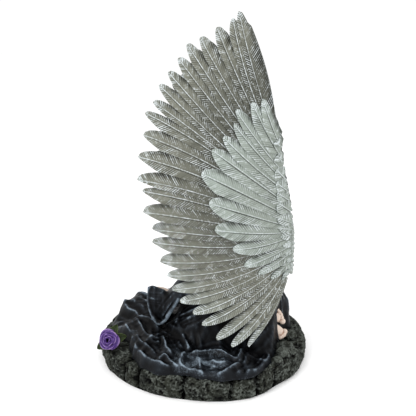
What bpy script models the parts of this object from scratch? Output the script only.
# A kneeling angel figurine in painted cast resin, on a round base of laid stones, with a rose on the rim.
# Lengths here are in millimetres and become metres when a mesh is made. The figure faces -Y,
# +X is its left side, and Z = 0 is the ground under the middle of the base.

import bmesh
import bpy
import numpy as np
from mathutils import Matrix, Vector

metres = 0.001

# Base of laid stones, and the pieces' clearance to each other
base_radius = 80.0
base_height = 16.0
stone_angles = (27, 24, 14, 13, 30, 22, 26, 20, 28, 24, 18, 26, 22, 30, 25, 11)
first_joint_angle = -33.0
joint_depth = 2.4
joint_width = 1.6
stone_swell = 0.7
rim_rounding = 4.5
ledge_inset = 9.0
# How far the rim stands in, at angles about the middle
rim_line = ((-180, 1.0), (-120, 0.5), (-60, 0.3), (-26, 1.2), (0, 0.8), (20, -2.4), (32, -2.6), (46, 0.4),
            (60, -0.6), (75, -0.6), (92, 0), (110, 0.8), (150, 0.5))
# Loose cobbles: angle, inset from the rim, half size, height above the base
cobbles = ((68, 5.2, 6.0, 4.0), (58.5, 2.2, 6.0, 5.5), (49.5, 0.8, 3.8, 4.5), (65, 0.6, 4.6, 2.6),
           (82, 6.5, 5.2, 5.0), (43, 0.4, 2.4, 2.2))
seam = 0.3

# From here on heights are above the base's top

# Gown spread over the base: inset of the hem from the base's radius, at angles about the middle
hem_line = ((-180, 6), (-160, 5.5), (-140, 4), (-120, 4), (-103, 5), (-91, 5.5), (-79, 11), (-65, 17), (-48, 13),
            (-31, 5), (-18, 3), (-7, 6.5), (6, 1.7), (22, -1.2), (33, 0), (44, 6), (57, 14),
            (69, 17.5), (84, 20), (96, 12), (108, 9), (125, 9), (150, 8))
hem_thickness = 1.8
hem_roll = 5.0

# Heaps of cloth over the legs and in front: ends of the line each lies on, height, half width
heaps = (((9, 4), (9, 36), 38.0, 23.0), ((-9, 2), (-9, 47), 38.0, 21.0),
         ((-8, -38), (-20, -52), 14.0, 16.0), ((20, -50), (50, -28), 5.0, 20.0), ((-30, 10), (-40, 40), 8.0, 20.0))

# Folds of the gown: height, half width and the line of the crest
folds = (
    (4.5, 3.0, ((-22, -66), (-4, -67), (-3, -60), (0, -53), (6, -48), (12, -36), (17, -30))),
    (4.5, 3.0, ((27, -60), (8, -52), (22, -39), (46, -25), (66, -12))),
    (3.5, 2.6, ((38, -56), (30, -43), (44, -38), (60, -27))),
    (3.0, 2.4, ((22, -27), (35, -31), (48, -31))),
    (4.5, 3.0, ((46, -7), (56, 5), (60, 18), (50, 27), (40, 31))),
    (4.5, 2.8, ((44, -8), (64, -10), (78, -8), (78, 2))),
    (3.0, 2.4, ((64, 2), (79, 2))),
    (4.0, 2.6, ((18, -14), (30, -12), (46, -7), (48, 2))),
    (3.0, 2.2, ((14, -22), (24, -12), (30, 2), (34, 14))),
    (3.0, 2.2, ((20, -22), (32, -8), (40, 8))),
    (4.0, 2.8, ((34, 33), (52, 29), (67, 24), (79, 18))),
    (4.5, 3.0, ((33, 58), (48, 55), (62, 44), (74, 33))),
    (3.0, 2.4, ((56, -21), (70, -13), (76, -4))),
    (4.0, 3.0, ((-20, 60), (-34, 48), (-52, 40), (-62, 30))),
    (4.0, 3.0, ((-30, 20), (-46, 16), (-68, 12))),
    (4.0, 3.0, ((-24, -12), (-46, -14), (-68, -20))),
    (4.0, 3.0, ((-26, -36), (-40, -44), (-54, -52))),
    (4.0, 3.0, ((-40, -28), (-56, -30), (-64, -38))),
    (3.5, 3.0, ((-24, 62), (-12, 67), (-4, 66))),
)
fold_thin_edge = 10.0

# Body: height, middle in Y, half width, half depth
trunk = ((24, 42, 20, 17), (36, 42, 17, 14), (44, 40, 14.5, 11.5), (54, 36, 17.5, 12.5), (64, 32.5, 20, 12.5),
         (73, 30, 22, 10.5), (78, 28.5, 15, 8.5), (82, 26.5, 8, 7.5), (88, 22.5, 6, 6))

# Arms of the left and the right side: shoulder, elbow, wrist; the right one hangs lower
left_arm = ((21, 29, 71), (25.5, 6, 52), (17, -12, 44), (8, -27, 31))
right_arm = ((-21, 29, 71), (-25, 8, 45), (-17, -10, 35), (-8, -26, 27))
arm_radii = (8.2, 7.4, 6.2, 4.4)
palm_half = (3.0, 8.0, 5.0)
palm_centre = (3.2, -33.0, 26.5)

# Hanging sleeves, cut across at each Y: middle in X, half width, bottom and top of the cloth
left_sleeve = ((8, 25, 8.5, 40, 57), (-4, 23.5, 9, 37, 56), (-12, 21.5, 8.5, 36, 53), (-18, 19, 8, 33, 49),
               (-22, 17, 7.5, 27.5, 43.5), (-26, 15.5, 7, 20, 38), (-30, 14.5, 6.5, 13.5, 39.5),
               (-35, 13.5, 6, 12.5, 41), (-39, 13, 5, 17.5, 41.5), (-41.3, 12.5, 2.5, 25, 41))
right_sleeve = ((8, -25, 8.5, 33, 50), (-4, -24, 9, 26, 44), (-14, -22, 9, 18, 36), (-24, -19, 9, 12, 29),
                (-34, -17, 9, 8, 23), (-42, -18, 8.5, 5, 19.5), (-50, -20, 8, 3.5, 15.5), (-58, -22, 6, 2, 11))
cuff_radius = 1.1
cuff_line = ((15, -40.5, 41), (17, -40.8, 30), (18.5, -38, 19), (19.5, -33, 13), (20.5, -29.5, 15),
             (23, -23.5, 25), (27, -16.5, 38), (29, -12, 45))

# Head, bowed forward, and the hair: lines of locks with their radii, each mirrored where it isn't in the middle
head_centre = (0.0, 13.0, 97.5)
head_half = (9.2, 11.0, 12.8)
bow_angle = 32.0
hair_thickness = 1.6
hair_locks = (
    (((9, 15, 102), (12.5, 16, 92), (12.5, 15, 82), (11.5, 13, 72), (10, 11, 64)), (4.5, 5, 4.5, 3.8, 1.5)),
    (((6.5, 21, 101), (8, 27, 92), (7, 33, 84), (5, 37, 76)), (6, 6, 5, 2.5)),
    (((0, 24, 102), (0, 30, 93), (0, 36, 85), (0, 39.5, 76)), (6, 6, 5.5, 3)))

# Feet under the hem: heel, arch and ball with their radii, and the toes from big to small
right_foot = (((0, 44, 17), 6.5), ((0.5, 50, 15.5), 5.8), ((1, 56, 13.5), 5.2))
right_toes = ((1.2, 62, 9.6, 2.5), (1.5, 61.2, 12.8, 1.9), (1.5, 60.6, 15.2, 1.8), (1.5, 59.4, 17.4, 1.7),
              (1.4, 57.9, 19.3, 1.6))
left_foot = (((12, 46, 11), 6.0), ((11.5, 52, 8.5), 5.4), ((11, 58, 5.3), 4.8))
left_toes = ((10.5, 63.4, 5.2, 2.5), (12.8, 63, 3.8, 1.9), (14.3, 61.6, 3.2, 1.8), (15.4, 60, 2.8, 1.7))

# Fineness of the casting: grain of the modelled surface, and the share of its facets that is kept
cast_grain = 1.0
cast_facets = 0.0215

# Seat of a wing on the back: its plane, its middle in X and Z, its half sizes
seat_y = 48.0
seat_centre = (10.0, 77.0)
seat_half = (6.5, 9.0)
pad_depth = 11.0
# Root of a wing: it keeps its height up to the neck behind the seat, and ends inside the bone, thinner
# and nearer the middle plane
root_neck = 5.0
root_neck_share = 0.85
root_end_inset = 4.5
root_end_shift = 1.5
root_end_half = (2.6, 7.2)

# Wings. The blade's outer face stands out sideways from the bone edge to the feather tips
wing_back_y = 65.0
wing_depth = 115.0
bone_offset = 7.0
cup_low = 34.0
cup_high = 8.0
cup_turns = (119.0, 219.0)
flare = 30.0
flare_top = 84.0
flare_depth = 85.0
feather_count = 26
# Place across the fan, counted in feathers: root on the bone (Y, Z) and sideways bend of the feather there
bone_line = ((0.5, 53.0, 158, -3), (1, 53.4, 155.5, 2), (3, 55.2, 144, 2), (6, 58.6, 125, 1), (8, 60.8, 115.6, 0),
             (10, 62.6, 107, -6), (13, 64.6, 92, -7), (15, 65.2, 87, -3), (17, 65.6, 83, 2), (19, 65.7, 76, 3),
             (21, 65.7, 70, 3), (24, 65.4, 60, 3), (26, 64.9, 55.2, 4), (26.5, 64.8, 54, 5))
# Place across the fan, and the tip (Y, Z) of the feather there
tip_line = ((0.5, 25.4, 243.8), (1, 25.4, 243.8), (2, 21.4, 239.3), (3, 10.6, 233.4), (4, -0.9, 226.7),
            (5, -9.9, 222.1), (6, -16.1, 212.6), (7, -23.0, 203.2), (8, -29.2, 194.5), (9, -33.1, 183.3),
            (10, -38.4, 176.0), (12, -42.4, 147.2), (13, -42.9, 131.8), (14, -39.4, 124.2), (15, -39.1, 109.1),
            (16, -33.1, 96.7), (17, -33.3, 87.0), (18, -27.8, 72.5), (19, -22.7, 62.6), (20, -19.0, 53.0),
            (21, -13.1, 45.0), (22, -3.6, 37.1), (23, 3.0, 29.9), (24, 13.8, 20.0), (25, 24.5, 14.8),
            (26, 36.5, 13.1), (26.5, 36.5, 13.1))
tip_gap = 9.0
tip_width = 0.18
covert_count = 14
# Place across the fan, and where the coverts end as a share of the feather's length
covert_edge = ((0.5, 0.42), (5, 0.49), (8, 0.53), (12, 0.61), (14, 0.58), (17, 0.46), (20, 0.34), (23, 0.24),
               (26.5, 0.10))
covert_scallop = 0.07
covert_step = 1.3
lesser_count = 20
lesser_edge = 0.08
lesser_step = 0.8
feather_relief = 1.0
blade_thickness = 1.7
bone_thickness = 5.0

# Rose on the rim: angle about the middle, overhang past the rim, height, radius, and the way it faces
rose_angle = -60.0
rose_overhang = -2.0
rose_height = 8.0
rose_radius = 8.3
rose_facing = (0.78, -0.45, 0.43)
rose_petals = 5
rose_rows = 4
leaf_angles = (20, 75, 215)
leaf_length = 8.0
leaf_width = 6.0


# Smooth curve through values given at keys, read at x
def curve_through(keys, values, x):
    keys = np.asarray(keys, float)
    values = np.asarray(values, float)
    slopes = np.gradient(values, keys, axis=0)
    x = np.clip(np.asarray(x, float), keys[0], keys[-1])
    i = np.clip(np.searchsorted(keys, x) - 1, 0, len(keys) - 2)
    span = keys[i + 1] - keys[i]
    t = (x - keys[i]) / span
    if values.ndim > 1:
        span, t = span[..., None], t[..., None]
    rise = t * t * (3 - 2 * t)
    bend = t * (1 - t)
    return (values[i] * (1 - rise) + values[i + 1] * rise
            + span * bend * ((1 - t) * slopes[i] - t * slopes[i + 1]))


# Distance from points to a bent line
def distance_to_line(x, y, line):
    nearest = np.full(np.shape(x), 1e6)
    for (ax, ay), (bx, by) in zip(line[:-1], line[1:]):
        dx, dy = bx - ax, by - ay
        t = np.clip(((x - ax) * dx + (y - ay) * dy) / (dx * dx + dy * dy), 0, 1)
        nearest = np.minimum(nearest, np.hypot(x - ax - t * dx, y - ay - t * dy))
    return nearest


def make_collection(name):
    collection = bpy.data.collections.new(name)
    bpy.context.scene.collection.children.link(collection)
    return collection


def make_material(name, colour, roughness):
    material = bpy.data.materials.new(name)
    material.use_nodes = True
    shader = material.node_tree.nodes["Principled BSDF"]
    shader.inputs["Base Color"].default_value = (*colour, 1)
    shader.inputs["Roughness"].default_value = roughness
    shader.inputs["Metallic"].default_value = 0
    return material


# One mesh object from points in millimetres, with its normals turned outward
def make_object(name, points, faces, collection, material=None):
    mesh = bpy.data.meshes.new(name)
    mesh.from_pydata((np.asarray(points, float) * metres).tolist(), [], faces)
    work = bmesh.new()
    work.from_mesh(mesh)
    bmesh.ops.recalc_face_normals(work, faces=work.faces)
    work.to_mesh(mesh)
    work.free()
    item = bpy.data.objects.new(name, mesh)
    collection.objects.link(item)
    if material:
        mesh.materials.append(material)
    return item


# Faces of a grid of rows and columns, numbered row by row
def grid_faces(rows, columns, closed=False):
    faces = []
    for row in range(rows - 1):
        for column in range(columns if closed else columns - 1):
            after = (column + 1) % columns
            low, high = row * columns, (row + 1) * columns
            faces.append((low + column, low + after, high + after, high + column))
    return faces


# Closed body through rings of equal numbers of points, with a cap on each end
def ring_body(name, rings, collection, material=None):
    rings = np.asarray(rings, float)
    count, sides, _ = rings.shape
    faces = grid_faces(count, sides, closed=True)
    faces.append(tuple(range(sides))[::-1])
    faces.append(tuple(range((count - 1) * sides, count * sides)))
    return make_object(name, rings.reshape(-1, 3), faces, collection, material)


def turn_angles(sides):
    return np.arange(sides) * 2 * np.pi / sides


# Round limb along a smooth curve through its joints
def limb(name, joints, radii, collection, sides=16, steps=5):
    joints = np.asarray(joints, float)
    keys = np.arange(len(joints))
    along = np.linspace(0, len(joints) - 1, (len(joints) - 1) * steps + 1)
    path = curve_through(keys, joints, along)
    radius = np.interp(along, keys, radii)
    tangent = np.gradient(path, axis=0)
    tangent /= np.linalg.norm(tangent, axis=1, keepdims=True)
    side = np.cross(tangent, (0.3, 0.2, 1.0))
    side /= np.linalg.norm(side, axis=1, keepdims=True)
    up = np.cross(side, tangent)
    angle = turn_angles(sides)[None, :, None]
    rings = path[:, None] + radius[:, None, None] * (np.cos(angle) * side[:, None] + np.sin(angle) * up[:, None])
    return ring_body(name, rings, collection)


# Ellipsoid turned about X by an angle in degrees
def ellipsoid(name, centre, half, collection, tilt=0.0, segments=24):
    work = bmesh.new()
    bmesh.ops.create_uvsphere(work, u_segments=segments, v_segments=segments // 2, radius=1.0)
    mesh = bpy.data.meshes.new(name)
    work.to_mesh(mesh)
    work.free()
    points = np.empty(len(mesh.vertices) * 3)
    mesh.vertices.foreach_get("co", points)
    points = tilted(points.reshape(-1, 3) * half, tilt) + centre
    mesh.vertices.foreach_set("co", (points * metres).ravel())
    item = bpy.data.objects.new(name, mesh)
    collection.objects.link(item)
    return item


def tilted(points, degrees):
    angle = np.radians(degrees)
    x, y, z = np.moveaxis(np.asarray(points, float), -1, 0)
    return np.stack([x, y * np.cos(angle) - z * np.sin(angle), y * np.sin(angle) + z * np.cos(angle)], -1)


# Box from its low and high corners
def block(name, low, high, collection):
    low, high = Vector(low) * metres, Vector(high) * metres
    place = Matrix.Translation((low + high) / 2) @ Matrix.Diagonal((*(high - low), 1))
    work = bmesh.new()
    bmesh.ops.create_cube(work, size=1.0, matrix=place)
    mesh = bpy.data.meshes.new(name)
    work.to_mesh(mesh)
    work.free()
    item = bpy.data.objects.new(name, mesh)
    collection.objects.link(item)
    return item


# One object from several that overlap; the separate shells are made one by a remesh or a union later
def join(name, items, collection):
    work = bmesh.new()
    for item in items:
        work.from_mesh(item.data)
        bpy.data.objects.remove(item)
    mesh = bpy.data.meshes.new(name)
    work.to_mesh(mesh)
    work.free()
    joined = bpy.data.objects.new(name, mesh)
    collection.objects.link(joined)
    return joined


def boolean(item, other, operation):
    modifier = item.modifiers.new(other.name, "BOOLEAN")
    modifier.object = other
    modifier.operation = operation
    modifier.solver = "EXACT"


# Radius at an angle about the middle, from insets given all round
def inset_radius(line, x, y):
    keys, inset = np.array(line, float).T
    keys = np.concatenate([keys - 360, keys, keys + 360])
    return base_radius - curve_through(keys, np.tile(inset, 3), np.degrees(np.arctan2(y, x)))


def gown_height(x, y):
    inside = inset_radius(hem_line, x, y) - np.hypot(x, y)
    roll = np.clip(inside / hem_roll, 0, 1)
    height = hem_thickness * np.sqrt(1 - (1 - roll) ** 2)
    heap = 0
    for start, end, rise, width in heaps:
        away = distance_to_line(x, y, (start, end)) / width
        heap = heap + (rise * np.exp(-away ** 3)) ** 4
    fade = np.clip(0.3 + inside / fold_thin_edge, 0, 1) * roll
    fold = sum(rise * np.exp(-(distance_to_line(x, y, line) / width) ** 2) for rise, width, line in folds)
    return seam + height + fade * (heap ** 0.25 + fold)


def make_gown(collection):
    columns, rows = 180, 60
    angle = turn_angles(columns)
    reach = inset_radius(hem_line, np.cos(angle), np.sin(angle))
    share = np.linspace(0.02, 1, rows)[:, None]
    x, y = share * reach * np.cos(angle), share * reach * np.sin(angle)
    top = np.stack([x, y, gown_height(x, y)], -1)
    bottom = np.stack([x[-1], y[-1], np.full(columns, -hem_thickness)], -1)
    return ring_body("gown", np.concatenate([top, bottom[None]]), collection)


# Solid cut across at each place along Y: middle in X, half width, bottom and top
def cross_section_body(name, sections, collection, sides=20):
    angle = turn_angles(sides)
    rings = []
    for y, x, width, low, high in sections:
        rings.append(np.stack([x + width * np.cos(angle), np.full(sides, float(y)),
                               (low + high) / 2 + (high - low) / 2 * np.sin(angle)], -1))
    return ring_body(name, rings, collection)


def make_trunk(collection):
    angle = turn_angles(28)
    rings = [np.stack([width * np.cos(angle), y + depth * np.sin(angle), np.full(28, float(z))], -1)
             for z, y, width, depth in trunk]
    return ring_body("trunk", rings, collection)


def make_arms(collection):
    parts = [limb("left_arm", left_arm, arm_radii, collection), limb("right_arm", right_arm, arm_radii, collection)]
    for side in (1, -1):
        palm = (side * palm_centre[0], palm_centre[1], palm_centre[2])
        parts.append(ellipsoid("palm", palm, palm_half, collection))
    parts.append(cross_section_body("left_sleeve", left_sleeve, collection))
    parts.append(cross_section_body("right_sleeve", right_sleeve, collection))
    parts.append(limb("cuff", cuff_line, [cuff_radius] * len(cuff_line), collection, sides=10))
    return parts


# Point on the head from its own axes: right, forward and up, before the head is bowed
def head_point(right, forward, up):
    return tilted((right, -forward, up), bow_angle) + np.array(head_centre)


def make_head(collection):
    width, depth, height = head_half
    parts = [ellipsoid("skull", head_centre, head_half, collection, bow_angle, 32)]
    jaw = head_point(0, 0.35 * depth, -0.55 * height)
    parts.append(ellipsoid("jaw", jaw, (0.66 * width, 0.6 * depth, 0.5 * height), collection, bow_angle))
    nose = (head_point(0, 0.93 * depth, 0.12 * height), head_point(0, 1.16 * depth, -0.22 * height))
    parts.append(limb("nose", nose, (0.7, 1.5), collection, sides=8))
    hair = head_point(0, -0.22 * depth, 0.16 * height)
    grown = np.array((width, depth * 0.94, height * 0.95)) + hair_thickness
    parts.append(ellipsoid("hair", hair, grown, collection, bow_angle, 32))
    for line, radii in hair_locks:
        parts.append(limb("lock", line, radii, collection, sides=12))
        if line[0][0]:
            parts.append(limb("lock", [(-x, y, z) for x, y, z in line], radii, collection, sides=12))
    return parts


def make_feet(collection):
    parts = []
    for balls, toes in ((right_foot, right_toes), (left_foot, left_toes)):
        centres, radii = zip(*balls)
        parts.append(limb("foot", centres, radii, collection))
        for x, y, z, radius in toes:
            ankle = np.array(centres[-1])
            tip = np.array((x, y, z))
            parts.append(limb("toe", (ankle * 0.4 + tip * 0.6, tip), (radius, radius), collection, sides=8))
            parts.append(ellipsoid("toe_tip", tip, (radius,) * 3, collection, segments=8))
    return parts


# The figure and its gown in one casting, cut flat under the gown and flat where each wing is seated
def make_angel(collection, cutters, material):
    parts = [make_gown(collection), make_trunk(collection)]
    parts += make_arms(collection) + make_head(collection) + make_feet(collection)
    for side in (1, -1):
        pad = (side * seat_centre[0], seat_y - pad_depth * 0.64, seat_centre[1])
        pad_half = (seat_half[0] * 1.3, pad_depth, seat_half[1] * 1.33)
        parts.append(ellipsoid("pad", pad, pad_half, collection))
    angel = join("kneeling_angel", parts, collection)
    angel.data.materials.append(material)
    remesh = angel.modifiers.new("one casting", "REMESH")
    remesh.mode = "VOXEL"
    remesh.voxel_size = cast_grain * metres
    decimate = angel.modifiers.new("facets", "DECIMATE")
    decimate.ratio = cast_facets
    reach = base_radius * 2
    boolean(angel, block("under_gown", (-reach, -reach, -base_height), (reach, reach, seam), cutters),
            "DIFFERENCE")
    low, high = seat_centre[1] - 2 * seat_half[1], seat_centre[1] + 2 * seat_half[1]
    boolean(angel, block("wing_seats", (-reach, seat_y, low), (reach, seat_y + reach, high), cutters),
            "DIFFERENCE")
    return angel


# Outer face of a wing, sideways from the figure's middle plane
def blade_x(y, z):
    forward = np.clip((wing_back_y - y) / wing_depth, 0, 1)
    rise = np.clip((z - cup_turns[0]) / (cup_turns[1] - cup_turns[0]), 0, 1)
    cup = cup_low + (cup_high - cup_low) * rise * rise * (3 - 2 * rise)
    drop = np.clip((flare_top - z) / flare_depth, 0, 1)
    return bone_offset + cup * (1 - (1 - forward) ** 4) + flare * drop ** 1.7


def blade_point(y, z, lift):
    step = 0.5
    slope_y = (blade_x(y + step, z) - blade_x(y - step, z)) / (2 * step)
    slope_z = (blade_x(y, z + step) - blade_x(y, z - step)) / (2 * step)
    long = np.sqrt(1 + slope_y ** 2 + slope_z ** 2)
    return np.stack([blade_x(y, z) + lift / long, y - lift * slope_y / long, z - lift * slope_z / long], -1)


# Place on the fan of feathers: number across it, and share of the way from bone to tip
def fan_place(number, share):
    bone, tips = np.array(bone_line, float), np.array(tip_line, float)
    place = 0.5 + (number - 0.5) * (bone[-1, 0] - 0.5) / feather_count
    root = curve_through(bone[:, 0], bone[:, 1:], place)
    root, bend = root[..., 0:2], root[..., 2:3]
    tip = curve_through(tips[:, 0], tips[:, 1:], place)
    chord = tip - root
    length = np.linalg.norm(chord, axis=-1, keepdims=True)
    across = np.stack([-chord[..., 1], chord[..., 0]], -1) / length
    middle = (root + tip) / 2 + 2 * bend * across
    off_tip = np.abs(number - np.clip(np.round(number), 1, feather_count)) - tip_width
    reach = share * (1 - tip_gap * (np.clip(off_tip, 0, 1) / (0.5 - tip_width)) ** 1.3 / length[..., 0])
    reach = reach[..., None]
    return (1 - reach) ** 2 * root + 2 * reach * (1 - reach) * middle + reach ** 2 * tip


def from_middle(number, pitch=1.0, first=1.0):
    place = (number - first) / pitch
    return 2 * np.abs(place - np.round(place))


def covert_border(number):
    keys, shares = np.array(covert_edge).T
    place = number * keys[-1] / (feather_count + 0.5)
    scallop = from_middle(number, feather_count / (covert_count + 0.44)) ** 1.6
    return curve_through(keys, shares, place) - covert_scallop * scallop


# Triangles between two edges of points, each with its share of the way along
def join_edges(first, first_share, second, second_share):
    faces, i, j = [], 0, 0
    while i < len(first) - 1 or j < len(second) - 1:
        step_first = j == len(second) - 1
        if i < len(first) - 1 and not step_first:
            step_first = first_share[i + 1] <= second_share[j + 1]
        if step_first:
            faces.append((first[i], first[i + 1], second[j]))
            i += 1
        else:
            faces.append((first[i], second[j + 1], second[j]))
            j += 1
    return faces


# A wing in one casting: two layers of coverts over the long feathers outside, a plain inner face,
# and a short root that ends flat against its seat on the back
def make_wing(name, side, collection, cutters, material):
    number = np.concatenate([[i - 0.5, i - tip_width, i + tip_width] for i in range(1, feather_count + 1)]
                            + [[feather_count + 0.5]])
    flat = np.zeros_like(number)
    border = covert_border(number)
    lesser = lesser_edge * (1 - 0.4 * from_middle(number, feather_count / lesser_count))
    lesser_lift = lesser_step * np.clip((feather_count - 2 - number) / 4, 0, 1)
    long_relief = feather_relief * (1 - from_middle(number))
    covert_relief = feather_relief * (1 - from_middle(number, feather_count / (covert_count + 0.44)))
    outer_rows = ((flat, flat),
                  (lesser, covert_step + lesser_lift),
                  (lesser + 0.02, covert_step + covert_relief * 0.4),
                  (border * 0.55, covert_step + covert_relief),
                  (border, covert_step + covert_relief * 0.6),
                  (border + 0.02, long_relief * 0.4),
                  (border + (0.9 - border) * 0.55, long_relief),
                  (0.9 + flat, long_relief * 0.7),
                  (1 + flat, long_relief * 0.2))
    inner_rows = ((flat, -bone_thickness + flat), (0.12 + flat, -0.7 * bone_thickness + flat),
                  (0.35 + flat, -1.3 * blade_thickness + flat), (0.65 + flat, -1.1 * blade_thickness + flat),
                  (1 + flat, -blade_thickness + flat))
    rings = []
    for share, lift in outer_rows + inner_rows[::-1]:
        y, z = np.moveaxis(fan_place(number, share), -1, 0)
        rings.append(blade_point(y, z, lift))
    rings = np.array(rings)
    rings[..., 0] *= side
    rows, columns, _ = rings.shape
    faces = grid_faces(rows, columns)
    faces += [(last, last + 1, first + 1, first)
              for first, last in zip(range(columns - 1), range((rows - 1) * columns, rows * columns - 1))]
    for column in (0, columns - 1):
        outer = [row * columns + column for row in range(len(outer_rows))]
        inner = [(rows - 1 - row) * columns + column for row in range(len(inner_rows))]
        faces += join_edges(outer, [share[column] for share, _ in outer_rows],
                            inner, [share[column] for share, _ in inner_rows])
    wing = make_object(name, rings.reshape(-1, 3), faces, collection, material)

    angle = turn_angles(14)
    x, z = seat_centre
    sections = ((seat_y + seam, x, *seat_half),
                (seat_y + root_neck, x, seat_half[0] * root_neck_share, seat_half[1]),
                (wing_back_y - root_end_inset, x - root_end_shift, *root_end_half))
    root = ring_body(name + "_root", [np.stack([side * (middle + half_x * np.cos(angle)), y + 0 * angle,
                                                z + half_z * np.sin(angle)], -1)
                                      for y, middle, half_x, half_z in sections], cutters)
    boolean(wing, root, "UNION")
    return wing


# The base: a ring of laid stones with open joints, and loose cobbles where the gown leaves it bare
def make_base(collection, cutters, material):
    angles, sunk, swell = [], [], []
    joint = first_joint_angle
    half_joint = np.degrees(joint_width / 2 / base_radius)
    for number, width in enumerate(stone_angles):
        angles += [joint, joint + 2 * half_joint, joint + width / 2, joint + width - 2 * half_joint]
        sunk += [1, 0, -0.25, 0]
        swell += [stone_swell * np.sin(2.4 * number)] * 4
        joint += width
    angles, sunk = np.radians(angles), np.array(sunk)
    rim = inset_radius(rim_line, np.cos(angles), np.sin(angles)) + np.array(swell) - stone_swell
    profile = ((-1.2, 0, 0.6), (-0.2, 1.5, 1), (0, base_height * 0.5, 1), (-0.8, base_height - 3, 1),
               (-rim_rounding, base_height, 0.8), (-ledge_inset, base_height, 0.3))
    rings = []
    for inset, z, depth in profile:
        radius = rim + inset - depth * joint_depth * sunk
        top = z - 0.6 * joint_depth * np.clip(sunk, 0, 1) * (z > base_height / 2) * depth
        rings.append(np.stack([radius * np.cos(angles), radius * np.sin(angles), top], -1))
    base = ring_body("stone_base", rings, collection, material)
    for number, (angle, inset, half, top) in enumerate(cobbles):
        angle = np.radians(angle)
        away = base_radius - inset - half * 0.85
        centre = (away * np.cos(angle), away * np.sin(angle), base_height + top / 2 - half * 0.25)
        stone = ellipsoid("cobble_%d" % number, centre, (half, half * 0.85, top / 2 + half * 0.25), cutters,
                          segments=8)
        boolean(base, stone, "UNION")
    return base


# The rose: petals wound in a spiral on a rounded bloom, over pointed leaves, lying on the rim
def make_rose(collection, cutters, material):
    around, across = 16, 7
    away, angle = base_radius + rose_overhang, np.radians(rose_angle)
    centre = np.array((away * np.cos(angle), away * np.sin(angle), rose_height))
    turn = turn_angles(around)[None, :]
    fall = np.linspace(0.12, 0.94, across)[:, None] * np.pi
    winding = (fall / np.pi * rose_rows + turn / (2 * np.pi)) % 1.0
    scallop = 0.06 * np.abs(np.sin(turn * rose_petals / 2))
    radius = rose_radius * (0.84 + 0.16 * winding + scallop * (fall > 1.0))
    flat = 0.78
    local = np.stack([radius * np.sin(fall) * np.cos(turn), radius * np.sin(fall) * np.sin(turn),
                      radius * flat * np.cos(fall)], -1)
    facing = Vector(rose_facing).normalized()
    turned = np.array(facing.to_track_quat("Z", "Y").to_matrix())
    bloom = ring_body("rose", local @ turned.T + centre, collection, material)
    for number, angle in enumerate(leaf_angles):
        along = np.linspace(0, 1, 4)[:, None]
        edge = turn_angles(6)[None, :]
        width = leaf_width / 2 * np.sin(np.pi * (0.1 + 0.88 * along)) ** 0.8
        droop = -3.0 * along ** 2
        leaf = np.stack([leaf_length * (0.25 + along) + 0 * edge, width * np.cos(edge),
                         0.9 * np.sin(edge) - 0.3 * rose_radius + droop], -1)
        swing = Matrix.Rotation(np.radians(angle), 3, "Z")
        placed = leaf @ (turned @ np.array(swing)).T + centre
        boolean(bloom, ring_body("leaf_%d" % number, placed, cutters), "UNION")
    reach = base_radius * 2
    boolean(bloom, block("rim_under_rose", (-reach, -reach, -base_height), (reach, reach, seam), cutters),
            "DIFFERENCE")
    return bloom


def main():
    for item in list(bpy.data.objects):
        bpy.data.objects.remove(item)
    figurine = make_collection("cemetery_angel_statue")
    cutters = make_collection("cutters")
    stone = make_material("dark stone paint", (0.060, 0.063, 0.050), 0.8)
    cloth = make_material("black gown paint", (0.018, 0.020, 0.024), 0.6)
    feather = make_material("pale feather paint", (0.40, 0.41, 0.36), 0.65)
    petal = make_material("purple rose paint", (0.12, 0.045, 0.32), 0.5)
    make_base(figurine, cutters, stone)
    base_objects = set(bpy.data.objects)
    make_angel(figurine, cutters, cloth)
    make_wing("left_wing", 1, figurine, cutters, feather)
    make_wing("right_wing", -1, figurine, cutters, feather)
    make_rose(figurine, cutters, petal)
    for item in set(bpy.data.objects) - base_objects:
        item.location.z = base_height * metres
    for cutter in cutters.objects:
        cutter.hide_render = True
        cutter.display_type = "WIRE"


main()
